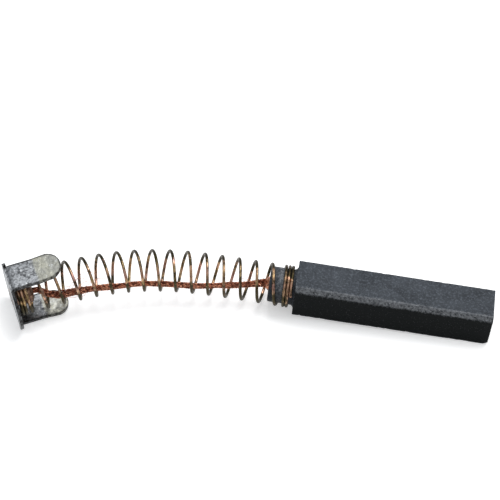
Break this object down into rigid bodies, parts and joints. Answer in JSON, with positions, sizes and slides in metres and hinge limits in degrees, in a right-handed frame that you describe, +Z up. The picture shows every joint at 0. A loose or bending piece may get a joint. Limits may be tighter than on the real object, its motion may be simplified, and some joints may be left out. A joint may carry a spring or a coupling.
{
  "type": "carbon brush",
  "caption": "Square-section carbon motor brush on a coil spring, with a copper shunt braid inside the spring and a folded sheet terminal cap with two ears.",
  "frame": {"origin": "middle of the rubbing face at the carbon block's far end", "axes": "+X along the carbon block from the spring to the rubbing face, +Z up as the brush lies, +Y across"},
  "size_m": [0.0792, 0.0186, 0.0109],
  "materials": {
    "carbon": "fine-grained matt carbon with a faint sheen",
    "tamped_copper": "tamped copper grains",
    "braid_copper": "bare braided copper",
    "spring_bronze": "drawn wire, darkened",
    "tinned_sheet": "tinned sheet, mottled",
    "eyelet_metal": "satin"
  },
  "bodies": {
    "cap": {"terminal_cap": "tinned_sheet", "eyelet": "eyelet_metal", "spring": "spring_bronze", "shunt_braid": "braid_copper"},
    "carbon": {"carbon_block": "carbon", "tamping_plug": "tamped_copper"}
  },
  "joints": [
    {"name": "spring_squeeze", "type": "slide", "parent": "cap", "child": "carbon", "axis": [-0.9752, -0.2206, -0.0167], "range_m": [0, 0.025], "stiffness_N_per_m": 80, "deforming": ["spring", "shunt_braid"]}
  ]
}
